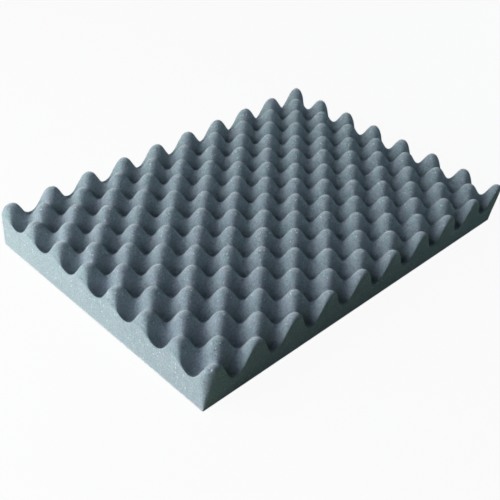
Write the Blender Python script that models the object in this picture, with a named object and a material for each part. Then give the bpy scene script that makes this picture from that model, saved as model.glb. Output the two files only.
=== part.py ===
"""Convoluted foam sheet with a peel-off self-adhesive back.

Metres, +Z up. The sheet lies on its back with its humps pointing up. The origin is the middle of the
underside, +X runs along the long side and +Y along the short side.
"""
import math

import bmesh
import bpy

# Foam sheet, its length and width taken along the base
SHEET_LENGTH = 0.4915
SHEET_WIDTH = 0.3525
BASE_THICKNESS = 0.0219
HUMP_HEIGHT = 0.0290
HUMP_PITCH_X = 0.0531
HUMP_PITCH_Y = 0.0493

# Where the first hump's top stands, from the sheet's left and front edges at the base
FIRST_HUMP_X = 0.0140
FIRST_HUMP_Y = -0.0004

# The cut faces aren't square to the base: over the foam's height they lean this far along each axis
CUT_LEAN_X = 0.0057
CUT_LEAN_Y = -0.0036

# 0 gives plain cosine waves, 0.5 gives rounder hump tops and hollows with steeper flanks between
HUMP_FULLNESS = 0.40

# Facets of the convoluted face from one hump to the next, and the narrowest strip left along a cut
FACETS_PER_PITCH = 8
NARROWEST_STRIP = 0.4

# Self-adhesive back, which stops short of the foam's edges all round
BACKING_INSET = 0.002
ADHESIVE_THICKNESS = 0.0002
LINER_THICKNESS = 0.00015
LAYER_GAP = 0.0003

FOAM_HEIGHT = BASE_THICKNESS + HUMP_HEIGHT
ADHESIVE_BOTTOM = LINER_THICKNESS + LAYER_GAP
FOAM_BOTTOM = ADHESIVE_BOTTOM + ADHESIVE_THICKNESS + LAYER_GAP


def clear_scene():
    for item in list(bpy.data.objects):
        bpy.data.objects.remove(item, do_unlink=True)


def make_material(name, colour, roughness, metallic=0.0):
    material = bpy.data.materials.new(name)
    material.use_nodes = True
    shader = material.node_tree.nodes["Principled BSDF"]
    shader.inputs["Base Color"].default_value = (*colour, 1.0)
    shader.inputs["Roughness"].default_value = roughness
    shader.inputs["Metallic"].default_value = metallic
    return material


def make_object(name, shape, material, parts):
    mesh = bpy.data.meshes.new(name)
    shape.to_mesh(mesh)
    shape.free()
    mesh.materials.append(material)
    item = bpy.data.objects.new(name, mesh)
    parts.objects.link(item)
    return item


def hump_surface(x, y):
    """Height of the convoluted face over the foam's base, at x and y from the middle of the sheet."""
    turn_x = 2 * math.pi * (x + SHEET_LENGTH / 2 - FIRST_HUMP_X) / HUMP_PITCH_X
    turn_y = 2 * math.pi * (y + SHEET_WIDTH / 2 - FIRST_HUMP_Y) / HUMP_PITCH_Y
    wave = math.cos(turn_x) * math.cos(turn_y)
    full_wave = wave * (1 + HUMP_FULLNESS * (1 - wave * wave))
    return BASE_THICKNESS + HUMP_HEIGHT * (1 + full_wave) / 2


def lean_at(height):
    """How far a cut face has leant from the base to this height, along X and Y."""
    return CUT_LEAN_X * height / FOAM_HEIGHT, CUT_LEAN_Y * height / FOAM_HEIGHT


def carried_up(x, y):
    """Where a line that leaves the base at x, y and leans like the cuts meets the convoluted face."""
    height = FOAM_HEIGHT
    for _ in range(30):
        lean_x, lean_y = lean_at(height)
        height = hump_surface(x + lean_x, y + lean_y)
    lean_x, lean_y = lean_at(height)
    return x + lean_x, y + lean_y, height


def facet_lines(sheet_size, first_hump, pitch, lean):
    """Facet edges across the base: one along each cut, and the rest in step with the humps' tops."""
    facet = pitch / FACETS_PER_PITCH
    start = first_hump - lean
    first_step = math.ceil(NARROWEST_STRIP - start / facet)
    last_step = math.floor((sheet_size - start) / facet - NARROWEST_STRIP)
    inner = [start + step * facet for step in range(first_step, last_step + 1)]
    return [line - sheet_size / 2 for line in [0.0, *inner, sheet_size]]


def foam_shape():
    lines_x = facet_lines(SHEET_LENGTH, FIRST_HUMP_X, HUMP_PITCH_X, CUT_LEAN_X)
    lines_y = facet_lines(SHEET_WIDTH, FIRST_HUMP_Y, HUMP_PITCH_Y, CUT_LEAN_Y)
    strips_x = len(lines_x) - 1
    strips_y = len(lines_y) - 1
    shape = bmesh.new()
    bmesh.ops.create_grid(shape, x_segments=strips_x, y_segments=strips_y, size=0.5)
    for vert in shape.verts:
        line_x = lines_x[round((vert.co.x + 0.5) * strips_x)]
        line_y = lines_y[round((vert.co.y + 0.5) * strips_y)]
        vert.co = carried_up(line_x, line_y)
    rim = [edge for edge in shape.edges if edge.is_boundary]
    cut_faces = bmesh.ops.extrude_edge_only(shape, edges=rim)["geom"]
    for vert in cut_faces:
        if isinstance(vert, bmesh.types.BMVert):
            lean_x, lean_y = lean_at(vert.co.z)
            vert.co = (vert.co.x - lean_x, vert.co.y - lean_y, 0.0)
    base_rim = [edge for edge in shape.edges if edge.is_boundary]
    bmesh.ops.contextual_create(shape, geom=base_rim)
    bmesh.ops.triangulate(shape, faces=shape.faces, quad_method="SHORT_EDGE", ngon_method="BEAUTY")
    bmesh.ops.recalc_face_normals(shape, faces=shape.faces)
    return shape


def make_foam_sheet(parts):
    foam = make_material("foam", (0.205, 0.265, 0.290), 0.95)
    sheet = make_object("foam_sheet", foam_shape(), foam, parts)
    sheet.location.z = FOAM_BOTTOM
    return sheet


def make_layer(name, bottom, thickness, material, parts):
    """A thin layer of the back, a little smaller than the foam's base."""
    length = SHEET_LENGTH - 2 * BACKING_INSET
    width = SHEET_WIDTH - 2 * BACKING_INSET
    shape = bmesh.new()
    bmesh.ops.create_cube(shape, size=1.0)
    bmesh.ops.scale(shape, verts=shape.verts, vec=(length, width, thickness))
    layer = make_object(name, shape, material, parts)
    layer.location.z = bottom + thickness / 2
    return layer


def main():
    clear_scene()
    parts = bpy.data.collections.new("convoluted_foam_sheet")
    bpy.context.scene.collection.children.link(parts)
    adhesive = make_material("adhesive", (0.78, 0.76, 0.68), 0.25)
    liner = make_material("liner_paper", (0.80, 0.77, 0.66), 0.55)
    make_foam_sheet(parts)
    make_layer("adhesive_film", ADHESIVE_BOTTOM, ADHESIVE_THICKNESS, adhesive, parts)
    make_layer("release_liner", 0.0, LINER_THICKNESS, liner, parts)


main()
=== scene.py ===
"""Looks of the convoluted foam sheet: fine open-cell foam over its self-adhesive back, in soft studio light.

Metres, +Z up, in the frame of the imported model. The sheet lies on its back with its humps pointing up.
"""
import math

import bmesh
import bpy
import numpy as np
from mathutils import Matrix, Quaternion, Vector, noise


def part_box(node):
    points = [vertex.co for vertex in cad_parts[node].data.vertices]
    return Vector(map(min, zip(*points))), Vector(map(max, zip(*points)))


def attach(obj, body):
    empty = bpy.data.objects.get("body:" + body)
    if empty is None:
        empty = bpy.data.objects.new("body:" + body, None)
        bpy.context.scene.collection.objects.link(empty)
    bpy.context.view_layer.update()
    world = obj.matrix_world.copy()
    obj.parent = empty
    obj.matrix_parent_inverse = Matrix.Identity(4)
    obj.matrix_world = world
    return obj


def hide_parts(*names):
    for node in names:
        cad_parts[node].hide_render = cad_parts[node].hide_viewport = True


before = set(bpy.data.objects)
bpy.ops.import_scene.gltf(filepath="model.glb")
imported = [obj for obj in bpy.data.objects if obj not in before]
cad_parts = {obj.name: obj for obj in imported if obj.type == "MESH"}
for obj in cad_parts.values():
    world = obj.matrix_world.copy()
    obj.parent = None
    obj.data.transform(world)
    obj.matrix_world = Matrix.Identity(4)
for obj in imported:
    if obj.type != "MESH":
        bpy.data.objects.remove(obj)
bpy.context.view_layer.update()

# The foam's base reaches this far past the liner all round
BACKING_INSET = 0.002
LINER_LOW, LINER_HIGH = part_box("release_liner")
SHEET_LENGTH = LINER_HIGH.x - LINER_LOW.x + 2 * BACKING_INSET
SHEET_WIDTH = LINER_HIGH.y - LINER_LOW.y + 2 * BACKING_INSET
FOAM_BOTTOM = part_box("foam_sheet")[0].z

# Foam, as in the CAD
BASE_THICKNESS = 0.0219
HUMP_HEIGHT = 0.0290
FOAM_HEIGHT = BASE_THICKNESS + HUMP_HEIGHT
HUMP_PITCH_X = 0.0531
HUMP_PITCH_Y = 0.0493
FIRST_HUMP_X = 0.0140
FIRST_HUMP_Y = -0.0004
HUMP_FULLNESS = 0.40

# The humps along the left cut have sagged outwards, and further at its front corner. Both sags die away
# inwards over SAG_REACH, and the corner's also does so backwards over CORNER_REACH.
LEFT_SAG = 0.0009
CORNER_SAG = 0.0025
SAG_REACH = 0.020
CORNER_REACH = 0.060

# The cut faces aren't square to the base. From the base to the humps' height, each upright corner leans
# this far along X and Y, and the cuts between them follow. The CAD gives all four the same lean.
LEFT_FRONT_LEAN = (0.0026, -0.0043)
RIGHT_FRONT_LEAN = (0.0066, -0.0043)
LEFT_BACK_LEAN = (0.0028, 0.0002)
RIGHT_BACK_LEAN = (0.0066, -0.0029)

# Radii of the edge between the humps and each cut face, at the hollows and at the tops of the humps
LEFT_EDGE_RADII = (0.0010, 0.0055)
RIGHT_EDGE_RADII = (0.003, 0.005)
FRONT_EDGE_RADII = (0.0035, 0.0027)
BACK_EDGE_RADII = (0.0010, 0.003)

# Radii of each upright corner, at the base and at the humps' height
LEFT_FRONT_RADII = (0.0012, 0.014)
RIGHT_FRONT_RADII = (0.0012, 0.002)
LEFT_BACK_RADII = (0.007, 0.003)
RIGHT_BACK_RADII = (0.0012, 0.003)

# The backing sits in a shallow recess, so that only foam shows from the side. The foam's lip round it ends
# just over the ground, and the roof of the recess is higher up.
LIP_BOTTOM = 0.0001
LIP_WIDTH = 0.0017
RECESS_TOP = 0.0007

# Fineness of the foam's mesh: the spacing of its lines, the rows down its cut faces, and how far from each
# cut edge its first lines run, both inwards and down
FACET = 0.00185
SIDE_ROWS = 16
EDGE_LINES = (0.0, 0.0003, 0.0007, 0.0012)

# A point's height is worked out again from where its line then leans to, this many times
HEIGHT_ROUNDS = 40

# Unevenness of a sheet cut from soft foam: how far its surface strays, and over what distance
UNEVEN_BROAD = (0.0007, 0.060)
UNEVEN_FINE = (0.00025, 0.009)
UNEVEN_SEED = Vector((3.1, 7.7, 1.9))

# Nearly all values of a noise lie in the wider of these ranges. The narrower one gives it harder edges.
NOISE_RANGE = (0.3, 0.7)
CLOUD_RANGE = (0.35, 0.65)

# Foam's colours, linear: its shade runs from dark to pale, and its tint from teal to violet
FOAM_DARK = (0.185, 0.240, 0.265)
FOAM_PALE = (0.370, 0.440, 0.460)
FOAM_TEAL = (0.955, 1.015, 0.995)
FOAM_VIOLET = (1.035, 0.990, 1.025)
TINT_SIZE = 0.012

# Foam's net of struts: the sizes of its cells, and how far from a cell's middle, in cell sizes, the hole
# ends and the full strut begins
LARGE_CELL = 0.0012
SMALL_CELL = 0.0006
STRUT_RANGE = (0.15, 0.75)

# Foam's shade is the sum of what its struts, a mottling and a finer grain give
STRUT_SHADE = 0.20
MOTTLE_SIZE = 0.007
MOTTLE_SHADE = (0.0, 0.3)
GRAIN_SIZE = 0.0021
GRAIN_SHADE = (-0.15, 0.85)

# Painted glints: pale specks in the foam's colour that stand for the light a strut's broken end throws back.
# Given are the size of the cells that may hold one, the random value over which a cell does, the speck's
# reach in cell sizes, and how strongly it shows
PAINTED_GLINT_COLOUR = (0.82, 0.86, 0.86)
FINE_PAINTED_GLINTS = (0.0016, 0.71, 0.33, 0.7)
BOLD_PAINTED_GLINTS = (0.0030, 0.78, 0.28, 1.0)

# The painted glints are thick on the cuts and the tops of the humps. Towards the hollows, where shade falls,
# they thin out, from the second of these heights over the foam's base down to the first. A face is a cut
# where its normal's Z is under the first of CUT_NORMALS, and over the second it isn't.
PAINTED_GLINT_HEIGHTS = (0.034, 0.048)
PAINTED_GLINT_SHARES = (0.1, 0.9)
CUT_NORMALS = (0.15, 0.35)

# Foam's surface. Light that enters it comes out again a little way off, except at the painted glints.
FOAM_ROUGHNESS = (0.85, 1.0)
FOAM_DIFFUSE_ROUGHNESS = 1.0
FOAM_SPECULAR = 0.15
FOAM_SUBSURFACE = 0.6
FOAM_SUBSURFACE_REACH = 0.0037
FOAM_SHEEN = 1.0
FOAM_SHEEN_ROUGHNESS = 0.48
RELIEF_SIZE = 0.0022
RELIEF_SHARE = (0.0, 0.8)
FOAM_BUMP = (0.00022, 0.8)

# Adhesive, with the threads of its carrier
ADHESIVE_DEEP = (0.74, 0.71, 0.60)
ADHESIVE_PALE = (0.82, 0.80, 0.72)
ADHESIVE_CLOUD_SIZE = 0.05
THREAD_COLOUR = (0.68, 0.64, 0.52)
THREAD_SIZE = 0.004
THREAD_RANGE = (0.4, 0.8)
ADHESIVE_ROUGHNESS = (0.18, 0.34)
ADHESIVE_BUMP = (0.0001, 0.6)

# Liner, with the fibres of its paper
LINER_DEEP = (0.76, 0.72, 0.59)
LINER_PALE = (0.82, 0.79, 0.68)
LINER_CLOUD_SIZE = 0.035
FIBRE_COLOUR = (0.66, 0.60, 0.45)
FIBRE_SIZE = 0.0016
FIBRE_RANGE = (0.45, 0.75)
FIBRE_SHARE = (0.0, 0.6)
LINER_ROUGHNESS = (0.42, 0.60)
LINER_BUMP = (0.00012, 0.7)

# Floor: the camera sees this share of plain white in it, and for the rest its own grey with the sheet's
# shadow. What it throws back onto the sheet has a colour of its own. It lies just under the liner.
FLOOR_GREY = (0.80, 0.80, 0.80)
FLOOR_WHITE_SHARE = 0.94
FLOOR_BOUNCE = (0.26, 0.38, 0.24)
FLOOR_REACH = 8.0
FLOOR_DROP = 0.0003

# Light
LAMP_DISTANCE = 1.3
WORLD_COLOUR = (0.86, 0.94, 1.0)
WORLD_STRENGTH = 0.003

# Camera
AIM_POINT = Vector((-0.0589, -0.0467, 0.0250))
CAMERA_AZIMUTH = math.radians(-46.58)
CAMERA_ELEVATION = math.radians(36.78)
CAMERA_ROLL = math.radians(3.72)
CAMERA_DISTANCE = 0.9360
LENS_MM = 59.14
SENSOR_MM = 36.0


def direction(azimuth, elevation):
    """Unit vector towards something seen from the sheet. Azimuth 0 is along -Y, and 90 degrees along +X."""
    flat = math.cos(elevation)
    return Vector((math.sin(azimuth) * flat, -math.cos(azimuth) * flat, math.sin(elevation)))


def hump_surface(x, y):
    """Height of the convoluted face over the foam's base, at x and y from the middle of the sheet."""
    inwards = np.maximum(x + SHEET_LENGTH / 2, 0.0)
    backwards = np.maximum(y + SHEET_WIDTH / 2, 0.0)
    sag = np.exp(-inwards / SAG_REACH) * (LEFT_SAG + CORNER_SAG * np.exp(-backwards / CORNER_REACH))
    turn_x = 2 * math.pi * (x + sag + SHEET_LENGTH / 2 - FIRST_HUMP_X) / HUMP_PITCH_X
    turn_y = 2 * math.pi * (y + SHEET_WIDTH / 2 - FIRST_HUMP_Y) / HUMP_PITCH_Y
    wave = np.cos(turn_x) * np.cos(turn_y)
    full_wave = wave * (1 + HUMP_FULLNESS * (1 - wave * wave))
    return BASE_THICKNESS + HUMP_HEIGHT * (1 + full_wave) / 2


def drawn_in(depth, other_depth, radius):
    """How far a rounded edge draws points in from one of its faces, given their depths behind both faces."""
    near = np.clip(1 - depth / radius, 0, 1)
    other_near = np.clip(1 - other_depth / radius, 0, 1)
    return near * radius * (1 - np.sqrt(1 - other_near ** 2 / 2))


def leant(x, y, height):
    """Where lines that leave the base at x, y are at this height: they lean, and bend in at the corners."""
    rise = height / FOAM_HEIGHT
    corners = (
        (-1, -1, LEFT_FRONT_LEAN, LEFT_FRONT_RADII),
        (1, -1, RIGHT_FRONT_LEAN, RIGHT_FRONT_RADII),
        (-1, 1, LEFT_BACK_LEAN, LEFT_BACK_RADII),
        (1, 1, RIGHT_BACK_LEAN, RIGHT_BACK_RADII),
    )
    leant_x = x
    leant_y = y
    for side_x, side_y, lean, (base_radius, top_radius) in corners:
        depth_x = SHEET_LENGTH / 2 - side_x * x
        depth_y = SHEET_WIDTH / 2 - side_y * y
        share = (1 - depth_x / SHEET_LENGTH) * (1 - depth_y / SHEET_WIDTH) * rise
        radius = base_radius + (top_radius - base_radius) * rise
        leant_x = leant_x + lean[0] * share - side_x * drawn_in(depth_x, depth_y, radius)
        leant_y = leant_y + lean[1] * share - side_y * drawn_in(depth_y, depth_x, radius)
    return leant_x, leant_y


def carried_up(x, y):
    """Height at which lines that leave the base at x, y and lean like the cuts meet the convoluted face."""
    height = np.full_like(x, FOAM_HEIGHT)
    for _ in range(HEIGHT_ROUNDS):
        height = hump_surface(*leant(x, y, height))
    return height


def edges_rounded(x, y, below, surface):
    """How far the edges along the four cuts draw points in along X and Y, and down.

    The points leave the base at x, y, and lie this far below the convoluted face, whose height is surface.
    """
    cuts = (
        (SHEET_LENGTH / 2 + x, LEFT_EDGE_RADII, 1, 0),
        (SHEET_LENGTH / 2 - x, RIGHT_EDGE_RADII, -1, 0),
        (SHEET_WIDTH / 2 + y, FRONT_EDGE_RADII, 0, 1),
        (SHEET_WIDTH / 2 - y, BACK_EDGE_RADII, 0, -1),
    )
    moves = np.zeros((len(x), 3))
    for depth, (low_radius, top_radius), inward_x, inward_y in cuts:
        radius = low_radius + (top_radius - low_radius) * (surface - BASE_THICKNESS) / HUMP_HEIGHT
        inward = drawn_in(depth, below, radius)
        moves += np.stack([inward_x * inward, inward_y * inward, -drawn_in(below, depth, radius)], axis=-1)
    return moves


def lines_across(size):
    """Lines across the base, close together beside each cut and evenly spaced between."""
    start = EDGE_LINES[-1]
    even = np.linspace(start, size - start, round((size - 2 * start) / FACET) + 1)
    close = np.array(EDGE_LINES[:-1])
    return np.concatenate([close, even, size - close[::-1]]) - size / 2


def rim_steps(last_x, last_y):
    """Grid steps once round the rim of the sheet, counter-clockwise seen from above."""
    front = [(step, 0) for step in range(last_x)]
    right = [(last_x, step) for step in range(last_y)]
    back = [(step, last_y) for step in range(last_x, 0, -1)]
    left = [(0, step) for step in range(last_y, 0, -1)]
    return front + right + back + left


def foam_points(lines_x, lines_y, rim):
    """The convoluted face, then a ring of points for each row down the cut faces and under the base."""
    grid_x, grid_y = (grid.ravel() for grid in np.meshgrid(lines_x, lines_y, indexing="ij"))
    grid_height = carried_up(grid_x, grid_y)
    rim_points = [step_x * len(lines_y) + step_y for step_x, step_y in rim]
    rim_x = grid_x[rim_points]
    rim_y = grid_y[rim_points]
    rim_height = grid_height[rim_points]
    first_row = EDGE_LINES[-1]
    to_lip = rim_height - (LIP_BOTTOM - FOAM_BOTTOM) - first_row
    depths = [np.full_like(rim_height, line) for line in EDGE_LINES[1:-1]]
    depths += [first_row + to_lip * (row / SIDE_ROWS) for row in range(SIDE_ROWS + 1)]
    x = np.concatenate([grid_x, *[rim_x] * len(depths)])
    y = np.concatenate([grid_y, *[rim_y] * len(depths)])
    below = np.concatenate([np.zeros_like(grid_x), *depths])
    height = np.concatenate([grid_height, *[rim_height - depth for depth in depths]])
    outer = np.stack([*leant(x, y, height), height], axis=-1) + edges_rounded(x, y, below, height + below)
    foot = outer[-len(rim):]
    lip = foot * (1 - 2 * LIP_WIDTH / np.array([SHEET_LENGTH, SHEET_WIDTH, math.inf]))
    recess = lip + np.array([0.0, 0.0, RECESS_TOP - LIP_BOTTOM])
    return np.concatenate([outer, lip, recess])


def foam_faces(points, last_x, last_y, rim):
    """Faces over the convoluted face's grid, down from its rim from ring to ring, and across the recess."""
    def point(step_x, step_y):
        return step_x * (last_y + 1) + step_y

    faces = []
    for i in range(last_x):
        for j in range(last_y):
            faces.append((point(i, j), point(i + 1, j), point(i + 1, j + 1), point(i, j + 1)))
    grid_points = (last_x + 1) * (last_y + 1)
    above = [point(*step) for step in rim]
    for ring_start in range(grid_points, len(points), len(rim)):
        below = [ring_start + step for step in range(len(rim))]
        for here in range(len(rim)):
            after = (here + 1) % len(rim)
            faces.append((above[after], above[here], below[here], below[after]))
        above = below
    faces.append(tuple(reversed(above)))
    return faces


def uneven(shape):
    """Moves the foam's surface in and out a little, as in a real sheet, and leaves its underside alone."""
    shape.normal_update()
    moves = []
    for vert in shape.verts:
        if vert.co.z < 0.0:
            continue
        move = 0.0
        for depth, reach in (UNEVEN_BROAD, UNEVEN_FINE):
            move += depth * noise.noise(vert.co / reach + UNEVEN_SEED)
        moves.append((vert, vert.normal * move))
    for vert, move in moves:
        vert.co += move


def make_foam():
    lines_x = lines_across(SHEET_LENGTH)
    lines_y = lines_across(SHEET_WIDTH)
    last_x = len(lines_x) - 1
    last_y = len(lines_y) - 1
    rim = rim_steps(last_x, last_y)
    points = foam_points(lines_x, lines_y, rim)
    mesh = bpy.data.meshes.new("foam")
    mesh.from_pydata(points, [], foam_faces(points, last_x, last_y, rim))
    shape = bmesh.new()
    shape.from_mesh(mesh)
    uneven(shape)
    shape.to_mesh(mesh)
    shape.free()
    mesh.shade_smooth()
    piece = bpy.data.objects.new("foam", mesh)
    piece.location.z = FOAM_BOTTOM
    bpy.context.scene.collection.objects.link(piece)
    return piece


class Nodes:
    """Short forms for building a material's node tree."""

    def __init__(self, name):
        self.material = bpy.data.materials.new(name)
        self.material.use_nodes = True
        self.tree = self.material.node_tree
        self.shader = self.tree.nodes["Principled BSDF"]
        self.output = self.tree.nodes["Material Output"]
        coordinates = self.tree.nodes.new("ShaderNodeTexCoord")
        self.place = coordinates.outputs["Object"]
        self.normal = coordinates.outputs["Normal"]

    def link(self, source, target):
        self.tree.links.new(source, target)

    def noise(self, size, detail=3.0, roughness=0.55):
        node = self.tree.nodes.new("ShaderNodeTexNoise")
        self.link(self.place, node.inputs["Vector"])
        node.inputs["Scale"].default_value = 1 / size
        node.inputs["Detail"].default_value = detail
        node.inputs["Roughness"].default_value = roughness
        return node.outputs["Fac"]

    def cells(self, size):
        node = self.tree.nodes.new("ShaderNodeTexVoronoi")
        self.link(self.place, node.inputs["Vector"])
        node.inputs["Scale"].default_value = 1 / size
        return node.outputs

    def specks(self, size, least, reach, strength):
        """Round spots in the cells whose random value is over least, out to reach times the cell's size."""
        outputs = self.cells(size)
        chosen = self.maths("GREATER_THAN", outputs["Color"], least)
        inside = self.maths("LESS_THAN", outputs["Distance"], reach)
        return self.maths("MULTIPLY", self.maths("MULTIPLY", chosen, inside), strength)

    def spread(self, value, source, target=(0.0, 1.0)):
        """Spreads the values of one range over another, and holds those outside it at its ends."""
        node = self.tree.nodes.new("ShaderNodeMapRange")
        self.link(value, node.inputs["Value"])
        node.inputs["From Min"].default_value, node.inputs["From Max"].default_value = source
        node.inputs["To Min"].default_value, node.inputs["To Max"].default_value = target
        return node.outputs["Result"]

    def maths(self, operation, *values):
        node = self.tree.nodes.new("ShaderNodeMath")
        node.operation = operation
        for socket, value in zip(node.inputs, values):
            if isinstance(value, (int, float)):
                socket.default_value = value
            else:
                self.link(value, socket)
        return node.outputs["Value"]

    def upward(self, vector):
        node = self.tree.nodes.new("ShaderNodeSeparateXYZ")
        self.link(vector, node.inputs["Vector"])
        return node.outputs["Z"]

    def mix(self, factor, first, second, blend="MIX"):
        node = self.tree.nodes.new("ShaderNodeMix")
        node.data_type = "RGBA"
        node.blend_type = blend
        if isinstance(factor, (int, float)):
            node.inputs["Factor"].default_value = factor
        else:
            self.link(factor, node.inputs["Factor"])
        for name, value in (("A", first), ("B", second)):
            socket = next(s for s in node.inputs if s.name == name and s.type == "RGBA")
            if isinstance(value, tuple):
                socket.default_value = (*value, 1.0)
            else:
                self.link(value, socket)
        return next(s for s in node.outputs if s.type == "RGBA")

    def bump(self, height, distance, strength):
        node = self.tree.nodes.new("ShaderNodeBump")
        self.link(height, node.inputs["Height"])
        node.inputs["Distance"].default_value = distance
        node.inputs["Strength"].default_value = strength
        self.link(node.outputs["Normal"], self.shader.inputs["Normal"])


def foam_colour(nodes, struts, mottle):
    """Grey, paler at the struts and in places, with a faint drift between teal and violet."""
    grain = nodes.noise(GRAIN_SIZE, detail=2.0, roughness=0.6)
    shade = nodes.maths("MULTIPLY", struts, STRUT_SHADE)
    shade = nodes.maths("ADD", shade, nodes.spread(mottle, NOISE_RANGE, MOTTLE_SHADE))
    shade = nodes.maths("ADD", shade, nodes.spread(grain, NOISE_RANGE, GRAIN_SHADE))
    tint = nodes.mix(nodes.spread(nodes.noise(TINT_SIZE), CLOUD_RANGE), FOAM_TEAL, FOAM_VIOLET)
    return nodes.mix(1.0, nodes.mix(shade, FOAM_DARK, FOAM_PALE), tint, "MULTIPLY")


def foam_painted_glints(nodes):
    """How much painted glint there is at each place, from 0 to 1: pale specks in place of glints of light,
    fewer towards the shaded hollows.
    """
    painted_glint = nodes.maths("MAXIMUM", nodes.specks(*FINE_PAINTED_GLINTS), nodes.specks(*BOLD_PAINTED_GLINTS))
    cut = nodes.spread(nodes.maths("ABSOLUTE", nodes.upward(nodes.normal)), CUT_NORMALS, (1.0, 0.0))
    high = nodes.spread(nodes.upward(nodes.place), PAINTED_GLINT_HEIGHTS, PAINTED_GLINT_SHARES)
    return nodes.maths("MULTIPLY", painted_glint, nodes.maths("MAXIMUM", cut, high))


def foam_material():
    """Grey open-cell foam: a fine net of pale struts round dark cells, mottled, with a few bright specks
    painted in as glints.
    """
    nodes = Nodes("open_cell_foam")
    large_struts = nodes.spread(nodes.cells(LARGE_CELL)["Distance"], STRUT_RANGE)
    small_struts = nodes.spread(nodes.cells(SMALL_CELL)["Distance"], STRUT_RANGE)
    struts = nodes.maths("ADD", large_struts, small_struts)
    mottle = nodes.noise(MOTTLE_SIZE, detail=5.0, roughness=0.65)
    painted_glint = foam_painted_glints(nodes)
    # Painted glints: pale specks mixed into the base colour in place of glints of light
    colour = nodes.mix(painted_glint, foam_colour(nodes, struts, mottle), PAINTED_GLINT_COLOUR)
    inputs = nodes.shader.inputs
    nodes.link(colour, inputs["Base Color"])
    nodes.link(nodes.spread(mottle, NOISE_RANGE, FOAM_ROUGHNESS), inputs["Roughness"])
    inputs["Diffuse Roughness"].default_value = FOAM_DIFFUSE_ROUGHNESS
    inputs["Specular IOR Level"].default_value = FOAM_SPECULAR
    # The painted glints take no subsurface light
    nodes.link(nodes.spread(painted_glint, (0.0, 1.0), (FOAM_SUBSURFACE, 0.0)), inputs["Subsurface Weight"])
    inputs["Subsurface Radius"].default_value = (1.0, 1.0, 1.0)
    inputs["Subsurface Scale"].default_value = FOAM_SUBSURFACE_REACH
    inputs["Sheen Weight"].default_value = FOAM_SHEEN
    inputs["Sheen Roughness"].default_value = FOAM_SHEEN_ROUGHNESS
    pores = nodes.noise(RELIEF_SIZE, detail=4.0, roughness=0.6)
    relief = nodes.maths("ADD", struts, nodes.spread(pores, NOISE_RANGE, RELIEF_SHARE))
    nodes.bump(relief, *FOAM_BUMP)
    return nodes.material


def adhesive_material():
    """Cream pressure-sensitive adhesive, glossy, with the fine threads of its carrier."""
    nodes = Nodes("tacky_adhesive")
    threads = nodes.noise(THREAD_SIZE, detail=6.0, roughness=0.7)
    clouds = nodes.noise(ADHESIVE_CLOUD_SIZE)
    colour = nodes.mix(nodes.spread(clouds, CLOUD_RANGE), ADHESIVE_DEEP, ADHESIVE_PALE)
    colour = nodes.mix(nodes.spread(threads, THREAD_RANGE), colour, THREAD_COLOUR)
    nodes.link(colour, nodes.shader.inputs["Base Color"])
    nodes.link(nodes.spread(threads, NOISE_RANGE, ADHESIVE_ROUGHNESS), nodes.shader.inputs["Roughness"])
    nodes.bump(threads, *ADHESIVE_BUMP)
    return nodes.material


def liner_material():
    """Siliconed kraft paper: pale buff with fibres and a little waviness."""
    nodes = Nodes("release_paper")
    fibres = nodes.noise(FIBRE_SIZE, detail=8.0, roughness=0.75)
    clouds = nodes.noise(LINER_CLOUD_SIZE)
    colour = nodes.mix(nodes.spread(clouds, CLOUD_RANGE), LINER_DEEP, LINER_PALE)
    colour = nodes.mix(nodes.spread(fibres, FIBRE_RANGE, FIBRE_SHARE), colour, FIBRE_COLOUR)
    nodes.link(colour, nodes.shader.inputs["Base Color"])
    nodes.link(nodes.spread(fibres, NOISE_RANGE, LINER_ROUGHNESS), nodes.shader.inputs["Roughness"])
    nodes.bump(nodes.maths("ADD", fibres, clouds), *LINER_BUMP)
    return nodes.material


def floor_material():
    """White to the camera and in reflections, with the sheet's shadow. It throws less light back up."""
    nodes = Nodes("pale_floor")
    tree = nodes.tree
    nodes.shader.inputs["Base Color"].default_value = (*FLOOR_GREY, 1.0)
    nodes.shader.inputs["Roughness"].default_value = 1.0
    white = tree.nodes.new("ShaderNodeEmission")
    shown = tree.nodes.new("ShaderNodeMixShader")
    shown.inputs["Fac"].default_value = FLOOR_WHITE_SHARE
    nodes.link(nodes.shader.outputs["BSDF"], shown.inputs[1])
    nodes.link(white.outputs["Emission"], shown.inputs[2])
    bounce = tree.nodes.new("ShaderNodeBsdfDiffuse")
    bounce.inputs["Color"].default_value = (*FLOOR_BOUNCE, 1.0)
    path = tree.nodes.new("ShaderNodeLightPath")
    seen = nodes.maths("MAXIMUM", path.outputs["Is Camera Ray"], path.outputs["Is Glossy Ray"])
    seen = nodes.maths("MAXIMUM", seen, path.outputs["Is Transmission Ray"])
    choice = tree.nodes.new("ShaderNodeMixShader")
    nodes.link(seen, choice.inputs["Fac"])
    nodes.link(bounce.outputs["BSDF"], choice.inputs[1])
    nodes.link(shown.outputs["Shader"], choice.inputs[2])
    nodes.link(choice.outputs["Shader"], nodes.output.inputs["Surface"])
    return nodes.material


def make_floor():
    shape = bmesh.new()
    bmesh.ops.create_grid(shape, x_segments=1, y_segments=1, size=FLOOR_REACH)
    mesh = bpy.data.meshes.new("floor")
    shape.to_mesh(mesh)
    shape.free()
    mesh.materials.append(floor_material())
    floor = bpy.data.objects.new("floor", mesh)
    floor.location.z = -FLOOR_DROP
    bpy.context.scene.collection.objects.link(floor)


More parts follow.
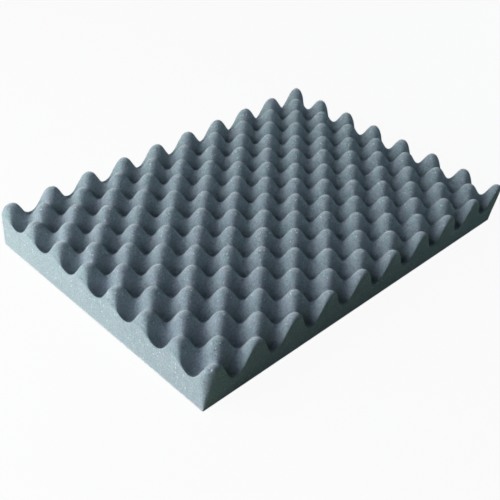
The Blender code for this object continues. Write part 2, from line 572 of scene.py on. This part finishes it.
def add_lamp(name, azimuth, elevation, size, power, colour):
    """A soft square lamp that faces the middle of the sheet. Angles in degrees, power in watts."""
    data = bpy.data.lights.new(name, "AREA")
    data.shape = "SQUARE"
    data.size = size
    data.energy = power
    data.color = colour
    lamp = bpy.data.objects.new(name, data)
    towards = direction(math.radians(azimuth), math.radians(elevation))
    lamp.location = towards * LAMP_DISTANCE
    lamp.rotation_euler = towards.to_track_quat("Z", "Y").to_euler()
    bpy.context.scene.collection.objects.link(lamp)


def add_lamps():
    """A low key lamp on the left and behind, a cooler one on the left, and a weak one on the right."""
    add_lamp("key", azimuth=-121.0, elevation=11.2, size=1.25, power=27.0, colour=(0.92, 1.00, 0.93))
    add_lamp("side", azimuth=-99.0, elevation=23.6, size=1.33, power=11.3, colour=(0.73, 0.75, 1.00))
    add_lamp("right", azimuth=79.0, elevation=26.0, size=0.7, power=3.4, colour=(0.56, 0.86, 1.00))


def add_world():
    world = bpy.data.worlds.new("studio")
    world.use_nodes = True
    background = world.node_tree.nodes["Background"]
    background.inputs["Color"].default_value = (*WORLD_COLOUR, 1.0)
    background.inputs["Strength"].default_value = WORLD_STRENGTH
    bpy.context.scene.world = world


def add_camera():
    data = bpy.data.cameras.new("camera")
    data.lens = LENS_MM
    data.sensor_width = SENSOR_MM
    camera = bpy.data.objects.new("camera", data)
    back = direction(CAMERA_AZIMUTH, CAMERA_ELEVATION)
    camera.location = AIM_POINT + back * CAMERA_DISTANCE
    turn = back.to_track_quat("Z", "Y") @ Quaternion((0.0, 0.0, 1.0), CAMERA_ROLL)
    camera.rotation_mode = "QUATERNION"
    camera.rotation_quaternion = turn
    bpy.context.scene.collection.objects.link(camera)
    bpy.context.scene.camera = camera


def main():
    foam = make_foam()
    foam.data.materials.append(foam_material())
    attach(foam, "root")
    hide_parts("foam_sheet")
    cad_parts["adhesive_film"].material_slots[0].material = adhesive_material()
    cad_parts["release_liner"].material_slots[0].material = liner_material()
    make_floor()
    add_lamps()
    add_world()
    add_camera()
    bpy.context.scene.view_settings.view_transform = "Standard"


main()
